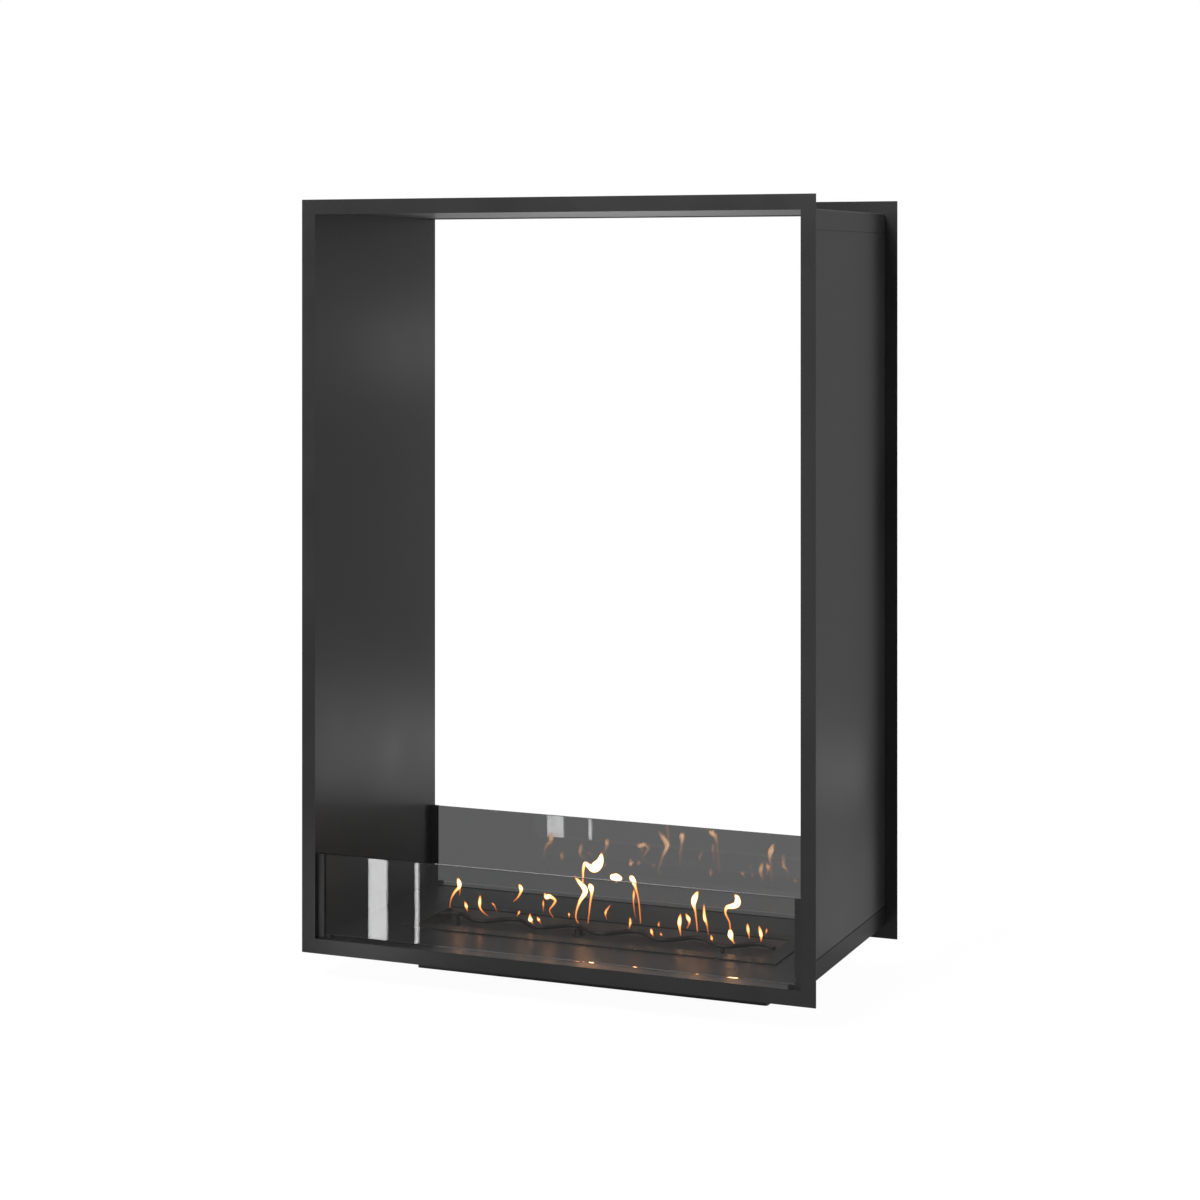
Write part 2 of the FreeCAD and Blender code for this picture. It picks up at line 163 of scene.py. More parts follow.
satin_black = coated_steel(
    "satin_black_powder", COAT_COLOUR, COAT_WORN_COLOUR, COAT_ROUGH, COAT_GRAIN_SIZE, COAT_GRAIN_HEIGHT)
finish_nodes(satin_black, "front_frame", "rear_frame", "front_collar", "rear_collar", "top_pan",
             "left_side_panel", "right_side_panel", "left_liner", "right_liner")
wiped_black = coated_steel(
    "wiped_black_powder", COAT_WIPED_COLOUR, COAT_COLOUR, COAT_WIPED_ROUGH, COAT_GRAIN_SIZE,
    COAT_WIPED_HEIGHT, gloss=COAT_WIPED_GLOSS)
finish_nodes(wiped_black, "deck_pan")


# Glass channels and pads. The channels are thin folded steel in the same black, and all four stand in the
# collars.
# The rear ones get a darker, more matt copy of that black, which is painted shade for the shadow at the back
# of the box.
# The pads are soft black silicone blocks under the panes.
CHANNEL_COLOUR = (0.009, 0.009, 0.0095)
PAD_COLOUR = (0.012, 0.012, 0.012)

# A darker, more matt copy of the coat for the rear channels: painted shade.
shaded_rear_channel = coated_steel(
    "rear_channel_painted_shade", CHANNEL_COLOUR, COAT_COLOUR, rough=0.5, grain_size=COAT_GRAIN_SIZE,
    grain_height=COAT_GRAIN_HEIGHT)
finish_nodes(satin_black, "front_guide_left", "front_guide_right")
# The rear channels' darker black is painted shade. They are the same coat as the front ones.
finish_nodes(shaded_rear_channel, "rear_guide_left", "rear_guide_right")
silicone = coated_steel(
    "black_silicone", PAD_COLOUR, CHANNEL_COLOUR, rough=0.7, grain_size=0.0008, grain_height=0.00008)
finish_nodes(silicone, "front_glass_pads", "rear_glass_pads")


# Low panes of grey-toned toughened glass, 6 mm, with ground and polished edges, standing on the pads
# and held by the channels at both ends. Faint wipe marks break the gloss here and there.
GLASS_COLOUR = (0.74, 0.744, 0.744)
GLASS_BEND = 1.5
GROUND_EDGE = 0.0009
GROUND_ROUGH = 0.06
WIPE_STRETCH = (3.0, 3.0, 11.0)
WIPE_SCALE = 2.0
WIPE_LOW = 0.55
WIPE_HIGH = 0.8
WIPE_ROUGH = 0.012
PANE_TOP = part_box("front_glass")[1][2]


def pane_glass():
    """Glass with a ground top edge and faint wipe marks, which lets the lamps' light through unbent."""
    material, tree, shader = new_material("grey_toughened_glass")
    shader.inputs["Base Color"].default_value = (*GLASS_COLOUR, 1)
    shader.inputs["Transmission Weight"].default_value = 1.0
    shader.inputs["IOR"].default_value = GLASS_BEND
    where = add_node(tree, "ShaderNodeTexCoord", (-900, -100))
    stretch = add_node(tree, "ShaderNodeMapping", (-720, -100))
    stretch.inputs["Scale"].default_value = WIPE_STRETCH
    wipe = add_node(tree, "ShaderNodeTexNoise", (-520, -100))
    wipe.inputs["Scale"].default_value = WIPE_SCALE
    wipe.inputs["Detail"].default_value = 5.0
    film = add_node(tree, "ShaderNodeMapRange", (-320, -100))
    film.inputs["From Min"].default_value = WIPE_LOW
    film.inputs["From Max"].default_value = WIPE_HIGH
    film.inputs["To Min"].default_value = 0.0
    film.inputs["To Max"].default_value = WIPE_ROUGH
    tree.links.new(where.outputs["Object"], stretch.inputs["Vector"])
    tree.links.new(stretch.outputs["Vector"], wipe.inputs["Vector"])
    tree.links.new(wipe.outputs["Fac"], film.inputs["Value"])
    height = add_node(tree, "ShaderNodeSeparateXYZ", (-720, -400))
    edge = add_node(tree, "ShaderNodeMapRange", (-520, -400))
    edge.inputs["From Min"].default_value = PANE_TOP - 2 * GROUND_EDGE
    edge.inputs["From Max"].default_value = PANE_TOP - GROUND_EDGE
    edge.inputs["To Min"].default_value = 0.0
    edge.inputs["To Max"].default_value = GROUND_ROUGH
    rough = add_node(tree, "ShaderNodeMath", (-150, -200), operation="MAXIMUM")
    tree.links.new(where.outputs["Object"], height.inputs["Vector"])
    tree.links.new(height.outputs["Z"], edge.inputs["Value"])
    tree.links.new(film.outputs["Result"], rough.inputs[0])
    tree.links.new(edge.outputs["Result"], rough.inputs[1])
    tree.links.new(rough.outputs[0], shader.inputs["Roughness"])
    path = add_node(tree, "ShaderNodeLightPath", (0, 300))
    clear = add_node(tree, "ShaderNodeBsdfTransparent", (0, 120))
    mix = add_node(tree, "ShaderNodeMixShader", (320, 120))
    tree.links.new(path.outputs["Is Shadow Ray"], mix.inputs["Fac"])
    tree.links.new(shader.outputs["BSDF"], mix.inputs[1])
    tree.links.new(clear.outputs["BSDF"], mix.inputs[2])
    tree.links.new(mix.outputs["Shader"], tree.nodes["Material Output"].inputs["Surface"])
    return material


finish_nodes(pane_glass(), "front_glass", "rear_glass")


# Burner tray: the rim and bed in heat-proof black, the tank and rails in heat-darkened steel.
# The bed is given a lighter grey as painted light, since it lies in the shaded recess.
# The rim lies on the deck and covers the cut edge that the tank hangs in.
BURNER_COLOUR = (0.0125, 0.0122, 0.012)
BURNER_BAKED_COLOUR = (0.02, 0.019, 0.018)
BURNER_GLOSS = 0.2
DARK_STEEL_COLOUR = (0.035, 0.034, 0.033)
DARK_STEEL_TINT = (0.05, 0.043, 0.038)
# Inside of the tank: bare steel, lightened and warmed as painted light from the flames above.
TANK_BARE_FLAME_LIT_COLOUR = (0.075, 0.071, 0.068)
TANK_WALL = 0.002
# The bed's lighter grey is painted light, standing in for light that the recessed bed lacks.
BED_PAINTED_LIGHT_COLOUR = (0.034, 0.033, 0.032)
BED_BAKED_PAINTED_LIGHT_COLOUR = (0.044, 0.042, 0.04)

heat_black = coated_steel(
    "heat_proof_black", BURNER_COLOUR, BURNER_BAKED_COLOUR, rough=0.33, grain_size=0.0009,
    grain_height=0.00005, gloss=BURNER_GLOSS)
finish_nodes(heat_black, "burner_rim")
# Painted light: the bed is coloured lighter than its black coat.
painted_light_bed = coated_steel(
    "bed_coat_painted_light", BED_PAINTED_LIGHT_COLOUR, BED_BAKED_PAINTED_LIGHT_COLOUR, rough=0.3, grain_size=0.0009, grain_height=0.00005)
finish_nodes(painted_light_bed, "bed_plate")
dark_steel = coated_steel(
    "heat_darkened_steel", DARK_STEEL_COLOUR, DARK_STEEL_TINT, rough=0.42, grain_size=0.0014,
    grain_height=0.00004, metallic=0.8)
finish_nodes(dark_steel, "bed_rail_front", "bed_rail_rear", "vapour_manifold", "fuel_reservoir",
             "suction_pipe", "feed_pipe", "igniter_bracket")


def tank_steel():
    """Black paint outside. Inside is bare steel in a lighter warm grey that is partly painted light from the
    flames. The two are told apart by the place on the tank.
    """
    material = coated_steel(
        "painted_tank_steel", COAT_COLOUR, BURNER_BAKED_COLOUR, rough=0.45, grain_size=0.0012,
        grain_height=0.00006)
    tree = material.node_tree
    shader = tree.nodes["Principled BSDF"]
    painted = shader.inputs["Base Color"].links[0].from_socket
    outer_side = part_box("burner_tank")[1][1]
    where = add_node(tree, "ShaderNodeTexCoord", (-900, 300))
    across = add_node(tree, "ShaderNodeSeparateXYZ", (-720, 300))
    off = add_node(tree, "ShaderNodeMath", (-540, 300), operation="ABSOLUTE")
    inside = add_node(tree, "ShaderNodeMath", (-360, 300), operation="LESS_THAN")
    inside.inputs[1].default_value = outer_side - TANK_WALL / 2
    # The lighter warm grey inside is partly painted light from the flames.
    bare_flame_lit = add_node(tree, "ShaderNodeMix", (-180, 200), data_type="RGBA")
    bare_flame_lit.inputs["B"].default_value = (*TANK_BARE_FLAME_LIT_COLOUR, 1)
    tree.links.new(where.outputs["Object"], across.inputs["Vector"])
    tree.links.new(across.outputs["Y"], off.inputs[0])
    tree.links.new(off.outputs[0], inside.inputs[0])
    tree.links.new(inside.outputs[0], bare_flame_lit.inputs["Factor"])
    tree.links.new(painted, bare_flame_lit.inputs["A"])
    tree.links.new(bare_flame_lit.outputs["Result"], shader.inputs["Base Color"])
    return material


finish_nodes(tank_steel(), "burner_tank")


# Works under the bed: pump and control box in matt black plastic, the filler cap in satin steel,
# and the igniter, a ceramic stem with a thin steel electrode, dark from soot.
HOUSING_COLOUR = (0.014, 0.014, 0.016)
CAP_COLOUR = (0.06, 0.06, 0.06)
CERAMIC_COLOUR = (0.07, 0.066, 0.062)

housing = coated_steel(
    "matt_black_plastic", HOUSING_COLOUR, COAT_COLOUR, rough=0.55, grain_size=0.0006, grain_height=0.00008)
finish_nodes(housing, "fuel_pump", "control_box", "control_lid")
cap_steel = coated_steel(
    "satin_cap_steel", CAP_COLOUR, DARK_STEEL_TINT, rough=0.36, grain_size=0.0007, grain_height=0.00003,
    metallic=1.0)
finish_nodes(cap_steel, "filler_cap")
ceramic = coated_steel(
    "sooty_ceramic", CERAMIC_COLOUR, DARK_STEEL_TINT, rough=0.45, grain_size=0.004, grain_height=0.00003)
finish_nodes(ceramic, "igniter")


# Wave tube on its two risers. A bent steel tube, black from the heat, with a row of small flame
# ports drilled along its crown. Each port keeps a thin bright edge from the drill.
TUBE_COLOUR = (0.005, 0.0048, 0.0047)
TUBE_TINT = (0.012, 0.0105, 0.0095)
WAVE_HALVES = 11
WAVE_SLOPE = math.radians(44.0)
CROWN_SAMPLES = 331
PORT_COLOUR = (0.05, 0.045, 0.04)
PORT_SPACING = 0.0085
PORT_RADIUS = 0.0011
PORT_EDGE = 0.00035
PORT_HEIGHT = 0.00018
PORT_TAPER = 0.9
PORT_SIDES = 10

tube_black = coated_steel(
    "heat_black_tube", TUBE_COLOUR, TUBE_TINT, rough=0.55, grain_size=0.001, grain_height=0.00005)
finish_nodes(tube_black, "wave_tube", "riser_left", "riser_right")

tube_low, tube_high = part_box("wave_tube")
TUBE_RADIUS = (tube_high[2] - tube_low[2]) / 2
WAVE_DEPTH = (tube_high[1] - tube_low[1]) / 2 - TUBE_RADIUS
TUBE_MIDDLE = (tube_high[2] + tube_low[2]) / 2
END_REACH = TUBE_RADIUS * math.sin(WAVE_SLOPE)
HALF_PITCH = (tube_high[0] - tube_low[0] - 2 * END_REACH) / WAVE_HALVES


def wave_run():
    """Half a straight run and the bend radius that give the pitch and depth of the wave."""
    lean = (1 - math.cos(WAVE_SLOPE)) / math.sin(WAVE_SLOPE)
    quarter = HALF_PITCH / 2
    run = (WAVE_DEPTH - quarter * lean) / (math.sin(WAVE_SLOPE) - math.cos(WAVE_SLOPE) * lean)
    return run, (quarter - run * math.cos(WAVE_SLOPE)) / math.sin(WAVE_SLOPE)


def tube_side(x):
    """The tube's middle line at x: how far it stands to the rear."""
    step = round(x / HALF_PITCH)
    step = max(-(WAVE_HALVES // 2), min(WAVE_HALVES // 2, step))
    side = 1 if step % 2 else -1
    run, radius = wave_run()
    off = abs(x - step * HALF_PITCH)
    bend = radius * math.sin(WAVE_SLOPE)
    if off <= bend:
        return side * (WAVE_DEPTH - radius + math.sqrt(radius * radius - off * off))
    return side * (HALF_PITCH / 2 - off) * math.tan(WAVE_SLOPE)


def crown_line(name):
    """A curve along the top of the tube."""
    reach = WAVE_HALVES * HALF_PITCH / 2 - 2 * TUBE_RADIUS
    curve = bpy.data.curves.new(name, "CURVE")
    curve.dimensions = "3D"
    spline = curve.splines.new("POLY")
    spline.points.add(CROWN_SAMPLES - 1)
    for i, point in enumerate(spline.points):
        x = -reach + 2 * reach * i / (CROWN_SAMPLES - 1)
        point.co = (x, tube_side(x), TUBE_MIDDLE + TUBE_RADIUS, 1)
    made = bpy.data.objects.new(name, curve)
    bpy.context.scene.collection.objects.link(made)
    return made


def port_mesh():
    """One port: a low drilled ring, a few dozen faces."""
    mesh = bpy.data.meshes.new("flame_port_shape")
    shape = bmesh.new()
    rings = []
    for radius, height in ((PORT_RADIUS + PORT_EDGE, -PORT_HEIGHT), (PORT_RADIUS + PORT_EDGE, PORT_HEIGHT),
                           (PORT_RADIUS, PORT_HEIGHT), (PORT_RADIUS * PORT_TAPER, -PORT_HEIGHT)):
        turn = [2 * math.pi * k / PORT_SIDES for k in range(PORT_SIDES)]
        rings.append([shape.verts.new((radius * math.cos(a), radius * math.sin(a), height)) for a in turn])
    for low, high in zip(rings, rings[1:]):
        for k in range(PORT_SIDES):
            after = (k + 1) % PORT_SIDES
            shape.faces.new((low[k], low[after], high[after], high[k]))
    shape.faces.new(rings[-1])
    shape.faces.new(list(reversed(rings[0])))
    bmesh.ops.recalc_face_normals(shape, faces=shape.faces)
    shape.to_mesh(mesh)
    shape.free()
    return mesh


def ports_along_crown():
    """Spaces the ports evenly along the crown with Geometry Nodes and keeps them as one mesh."""
    port = bpy.data.objects.new("flame_port_shape", port_mesh())
    tree = bpy.data.node_groups.new("ports_along_crown", "GeometryNodeTree")
    tree.interface.new_socket("Geometry", in_out="INPUT", socket_type="NodeSocketGeometry")
    spacing = tree.interface.new_socket("Spacing", in_out="INPUT", socket_type="NodeSocketFloat")
    shape = tree.interface.new_socket("Port", in_out="INPUT", socket_type="NodeSocketObject")
    finish = tree.interface.new_socket("Finish", in_out="INPUT", socket_type="NodeSocketMaterial")
    tree.interface.new_socket("Geometry", in_out="OUTPUT", socket_type="NodeSocketGeometry")
    given = add_node(tree, "NodeGroupInput", (-600, 0))
    result = add_node(tree, "NodeGroupOutput", (800, 0))
    points = add_node(tree, "GeometryNodeCurveToPoints", (-300, 100), mode="LENGTH")
    one = add_node(tree, "GeometryNodeObjectInfo", (-300, -200))
    place = add_node(tree, "GeometryNodeInstanceOnPoints", (0, 0))
    real = add_node(tree, "GeometryNodeRealizeInstances", (250, 0))
    coat = add_node(tree, "GeometryNodeSetMaterial", (500, 0))
    link = tree.links.new
    link(given.outputs["Geometry"], points.inputs["Curve"])
    link(given.outputs["Spacing"], points.inputs["Length"])
    link(given.outputs["Port"], one.inputs["Object"])
    link(points.outputs["Points"], place.inputs["Points"])
    link(one.outputs["Geometry"], place.inputs["Instance"])
    link(place.outputs["Instances"], real.inputs["Geometry"])
    link(real.outputs["Geometry"], coat.inputs["Geometry"])
    link(given.outputs["Finish"], coat.inputs["Material"])
    link(coat.outputs["Geometry"], result.inputs["Geometry"])
    line = crown_line("tube_crown_line")
    modifier = line.modifiers.new("ports", "NODES")
    modifier.node_group = tree
    modifier[spacing.identifier] = PORT_SPACING
    modifier[shape.identifier] = port
    modifier[finish.identifier] = port_steel
    evaluated = line.evaluated_get(bpy.context.evaluated_depsgraph_get())
    mesh = bpy.data.meshes.new_from_object(evaluated)
    bpy.data.objects.remove(line)
    bpy.data.objects.remove(port)
    made = bpy.data.objects.new("flame_ports", mesh)
    bpy.context.scene.collection.objects.link(made)
    return made


port_steel = coated_steel(
    "drilled_port_edge", PORT_COLOUR, TUBE_TINT, rough=0.4, grain_size=0.001, grain_height=0.00002,
    metallic=0.8)
flame_ports = ports_along_crown()
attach(flame_ports, "casing")


# Flames of burning spirit vapour. Each leaves a port as a thin thread, swells where it burns hottest and
# draws out to a tip: an orange veil all along, and a pale core only where the flame is thick enough.
MM = 0.001
VEIL_GLOW = 1.8
VEIL_COLOURS = ((0.0, (0.4, 0.06, 0.012)), (0.3, (0.8, 0.19, 0.03)), (0.65, (1.0, 0.36, 0.08)),
                (1.0, (1.0, 0.5, 0.16)))
VEIL_BODY = ((0.0, (0.0, 0.0, 0.0)), (0.5, (0.42, 0.42, 0.42)), (1.0, (0.5, 0.5, 0.5)))
CORE_GLOW = 12.0
CORE_COLOURS = ((0.0, (0.25, 0.07, 0.016)), (0.35, (0.4, 0.15, 0.045)), (0.7, (0.8, 0.38, 0.16)),
                (1.0, (1.0, 0.52, 0.25)))
CORE_BODY = ((0.0, (0.5, 0.5, 0.5)), (0.4, (0.95, 0.95, 0.95)), (1.0, (1.0, 1.0, 1.0)))
VEIL_EDGE = 1.3 * MM
HOT_RADIUS = 4.0 * MM
FLAME_DEPTH = 0.7
FLAME_DRIFT = 3.0 * MM
DRIFT_TURN = 1.7
FLICKER = 0.1
FLICKER_TURN = 11
THREAD_SHARE = 0.2
SWELL_POWER = 2.0
TIP_POWER = 1.7
FOOT_START = 0.02
FADE_POWER = 0.6
FLAME_RINGS = 40
FLAME_SIDES = 12

# A flame is one or more tongues. Each has its place along the tube, its full width, how far up it is widest,
# and its way, as steps to the right and heights above the tube, all in millimetres.
FLAMES = {
    "flame_left_end": (
        (-323, 10, 0.80, ((0, 6), (3, 24), (9, 38), (19, 50), (17, 68))),
        (-303, 4, 0.60, ((0, 30), (-1, 53)))),
    "flame_left_drop": ((-282, 7, 0.45, ((0, 5), (-2, 15), (-4, 27))),),
    "flame_left_spike": ((-228, 7, 0.75, ((0, 6), (-12, 12), (-21, 22), (-18, 46))),),
    "flame_left_curl": ((-216, 4, 0.60, ((0, 12), (-6, 25), (-14, 27))),),
    "flame_left_hook": (
        (-190, 9, 0.70, ((0, 30), (9, 40), (14, 53), (11, 66))),
        (-183, 5, 0.50, ((0, 3), (2, 8), (4, 14)))),
    "flame_low_pair": (
        (-136, 9, 0.40, ((0, 0), (-3, 9), (-4, 21))),
        (-118, 6, 0.55, ((0, 2), (-3, 9), (-6, 17)))),
    "flame_fold": (
        (-96, 10, 0.72, ((0, 13), (-10, 25), (-4, 36), (2, 46), (-8, 53), (-18, 50), (-21, 60))),
        (-113, 4, 0.50, ((0, 26), (-1, 49)))),
    "flame_spark": ((-75, 5, 0.50, ((0, 10), (0, 15), (1, 21))),),
    "flame_tall": (
        (-56, 11, 0.68, ((0, 0), (-6, 9), (-3, 25), (4, 44), (13, 63), (0, 80), (-10, 92))),
        (-26, 11, 0.78, ((0, 8), (3, 47), (6, 70), (3, 86))),
        (-45, 19, 0.70, ((2, 72), (-1, 100), (3, 115), (13, 112), (22, 109), (33, 121), (38, 142)))),
    "flame_puff": ((20, 15, 0.0, ((-1, 99), (7, 101), (16, 101), (24, 99))),),
    "flame_thread": ((16, 5, 0.50, ((0, 22), (-2, 36), (7, 51))),),
    "flame_middle": (
        (70, 12, 0.82, ((0, 11), (-4, 55), (-9, 81), (-15, 92), (-24, 99))),
        (61, 5, 0.70, ((0, 22), (-5, 50), (-5, 76))),
        (49, 6, 0.45, ((0, 1), (1, 12), (0, 23)))),
    "flame_right_low": (
        (111, 7, 0.55, ((0, 0), (-4, 7), (-8, 14))),
        (123, 4, 0.50, ((0, 19), (-1, 24), (-1, 30))),
        (128, 4, 0.50, ((0, 2), (-1, 6), (-3, 11)))),
    "flame_right_pair": (
        (157, 9, 0.50, ((0, 1), (-4, 22), (0, 44))),
        (165, 8, 0.65, ((0, 13), (6, 28), (-1, 43)))),
    "flame_right_spike": (
        (183, 12, 0.74, ((0, 6), (-4, 42), (-6, 63), (3, 85))),
        (211, 8, 0.60, ((0, 8), (-3, 28), (-9, 39), (-10, 66)))),
    "flame_right_drop": ((224, 6, 0.50, ((0, 0), (-2, 5), (-5, 11))),),
    "flame_right_tall": (
        (260, 15, 0.74, ((0, 24), (0, 41), (-8, 56), (-7, 66), (5, 70), (15, 76), (14, 86), (6, 92))),
        (267, 13, 0.62, ((0, 0), (-6, 13), (-9, 27)))),
    "flame_end_pair": (
        (289, 7, 0.45, ((0, 6), (-4, 21), (-4, 36))),
        (308, 8, 0.45, ((0, 0), (-1, 13), (-4, 32))),
        (319, 4, 0.50, ((0, 16), (0, 21), (0, 27)))),
}


def flame_finish(name, colours, clearness, glow):
    """A glowing material: colour follows the heat of the flame, clearness its fading ends."""
    material, tree, shader = new_material(name)
    for attribute, stops, socket, level in (("glow", colours, "Emission Color", 100),
                                            ("body", clearness, "Alpha", -200)):
        given = add_node(tree, "ShaderNodeAttribute", (-700, level), attribute_name=attribute)
        ramp = add_node(tree, "ShaderNodeValToRGB", (-450, level))
        while len(ramp.color_ramp.elements) < len(stops):
            ramp.color_ramp.elements.new(0.5)
        for element, (place, colour) in zip(ramp.color_ramp.elements, stops):
            element.position = place
            element.color = (*colour, 1)
        tree.links.new(given.outputs["Fac"], ramp.inputs["Fac"])
        tree.links.new(ramp.outputs["Color"], shader.inputs[socket])
    shader.inputs["Base Color"].default_value = (0.0, 0.0, 0.0, 1)
    shader.inputs["Roughness"].default_value = 1.0
    shader.inputs["Specular IOR Level"].default_value = 0.0
    shader.inputs["Emission Strength"].default_value = glow
    return material


veil_fire = flame_finish("orange_flame_veil", VEIL_COLOURS, VEIL_BODY, VEIL_GLOW)
core_fire = flame_finish("pale_flame_core", CORE_COLOURS, CORE_BODY, CORE_GLOW)


def on_way(points, share):
    """A place on the smooth curve through the points, at a share of the way from 0 to 1."""
    last = len(points) - 1
    step = min(int(share * last), last - 1)
    part = share * last - step
    before = points[max(step - 1, 0)]
    near = points[step]
    far = points[step + 1]
    after = points[min(step + 2, last)]
    straight = (far - before) * part
    square = (before * 2 - near * 5 + far * 4 - after) * part ** 2
    cube = (near * 3 - before - far * 3 + after) * part ** 3
    return (near * 2 + straight + square + cube) / 2


def swelling(share, belly):
    """Share of the full width along the way: a thread at the foot, full at the belly, a point at the tip.
    A belly of 0 gives a round puff that has left the tube."""
    if belly == 0:
        return math.sqrt(1 - (2 * share - 1) ** 2)
    if share < belly:
        return THREAD_SHARE + (1 - THREAD_SHARE) * (share / belly) ** SWELL_POWER
    return max(0.0, 1 - ((share - belly) / (1 - belly)) ** TIP_POWER)


def skin(shape, finish, points, shares, radius_at):
    """One closed skin round a stretch of the way, pointed at both ends."""
    glow = shape.verts.layers.float["glow"]
    body = shape.verts.layers.float["body"]
    step = 1 / FLAME_RINGS
    rings = []
    for share in shares:
        middle = on_way(points, share)
        ahead = on_way(points, min(share + step, 1)) - on_way(points, max(share - step, 0))
        across = Vector((ahead.z, 0, -ahead.x)).normalized()
        radius = radius_at(share)
        ends = share in (shares[0], shares[-1])
        ring = []
        for s in range(1 if ends else FLAME_SIDES):
            turn = 2 * math.pi * s / FLAME_SIDES
            out = across * math.cos(turn) + Vector((0, FLAME_DEPTH * math.sin(turn), 0))
            spot = shape.verts.new(middle if ends else middle + out * radius)
            spot[glow] = min(1.0, radius / HOT_RADIUS)
            spot[body] = math.sin(math.pi * min(1.0, FOOT_START + share)) ** FADE_POWER
            ring.append(spot)
        rings.append(ring)
    for low, high in zip(rings, rings[1:]):
        for s in range(FLAME_SIDES):
            corners = []
            for ring, k in ((low, s), (low, s + 1), (high, s + 1), (high, s)):
                corner = ring[k % len(ring)]
                if corner not in corners:
                    corners.append(corner)
            face = shape.faces.new(corners)
            face.material_index = finish
            face.smooth = True


def make_flame(name, tongues):
    """The tongues of one flame as one mesh."""
    mesh = bpy.data.meshes.new(name)
    shape = bmesh.new()
    shape.verts.layers.float.new("glow")
    shape.verts.layers.float.new("body")
    for along, width, belly, way in tongues:
        foot = Vector((along * MM, tube_side(along * MM), TUBE_MIDDLE + TUBE_RADIUS))
        points = []
        for k, (right, up) in enumerate(way):
            drift = FLAME_DRIFT * math.sin(DRIFT_TURN * k + along)
            points.append(foot + Vector((right * MM, drift, up * MM)))

        def veil_radius(share):
            flicker = 1 + FLICKER * math.sin(FLICKER_TURN * share + along)
            return width * MM / 2 * swelling(share, belly) * flicker

        def core_radius(share):
            return veil_radius(share) - VEIL_EDGE

        shares = [k / FLAME_RINGS for k in range(FLAME_RINGS + 1)]
        skin(shape, 0, points, shares, veil_radius)
        thick = [share for share in shares if core_radius(share) > 0]
        if len(thick) > 2:
            skin(shape, 1, points, thick, core_radius)
    bmesh.ops.recalc_face_normals(shape, faces=shape.faces)
    shape.to_mesh(mesh)
    shape.free()
    mesh.materials.append(veil_fire)
    mesh.materials.append(core_fire)
    made = bpy.data.objects.new(name, mesh)
    bpy.context.scene.collection.objects.link(made)
    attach(made, "casing")


for flame, tongues in FLAMES.items():
    make_flame(flame, tongues)


# Studio: a white floor in a dim grey room, with soft boxes. The camera sees both as white. The panes and the
# gloss see the room's greys and look past the floor, so two light bars in front can reach below it: they give
# the upright stripes in the panes. Strips that lie on the floor are mirrored in the walls, side and ceiling.
ROOM_GREY = 0.15
PANE_GREY = 0.16
MIRRORED_GREY = 0.3
SWEEP_WHITE = 0.9
SWEEP_ROUGH = 0.9
SWEEP_GLOW = 1.05
SWEEP_SPAN = 40.0
SHADOW_SHARE = 0.08
SHADOW_NEAR = 0.9
SHADOW_FAR = 2.6
STRIP_RISE = 0.002
BAR_FRONT = -0.915
BAR_MIDDLE = -0.02
BAR_HEIGHT = 0.24


def grey_room():
    """The room: white in the camera, one grey through the panes, another in gloss, and a dim even light."""
    world = bpy.data.worlds.new("grey_room")
    world.use_nodes = True
    tree = world.node_tree
    path = add_node(tree, "ShaderNodeLightPath", (-1100, 400))
    gloss = add_node(tree, "ShaderNodeMath", (-900, 300), operation="MULTIPLY")
    gloss.inputs[1].default_value = MIRRORED_GREY
    grey = add_node(tree, "ShaderNodeMix", (-700, 300), data_type="FLOAT")
    grey.inputs["B"].default_value = PANE_GREY
    level = add_node(tree, "ShaderNodeMath", (-500, 400), operation="MAXIMUM")
    lit = add_node(tree, "ShaderNodeMath", (-300, 300), operation="MAXIMUM")
    lit.inputs[1].default_value = ROOM_GREY
    tree.links.new(path.outputs["Is Glossy Ray"], gloss.inputs[0])
    tree.links.new(path.outputs["Is Transmission Ray"], grey.inputs["Factor"])
    tree.links.new(gloss.outputs[0], grey.inputs["A"])
    tree.links.new(path.outputs["Is Camera Ray"], level.inputs[0])
    tree.links.new(grey.outputs["Result"], level.inputs[1])
    tree.links.new(level.outputs[0], lit.inputs[0])
    tree.links.new(lit.outputs[0], tree.nodes["Background"].inputs["Strength"])
    tree.nodes["Background"].inputs["Color"].default_value = (1, 1, 1, 1)
    bpy.context.scene.world = world


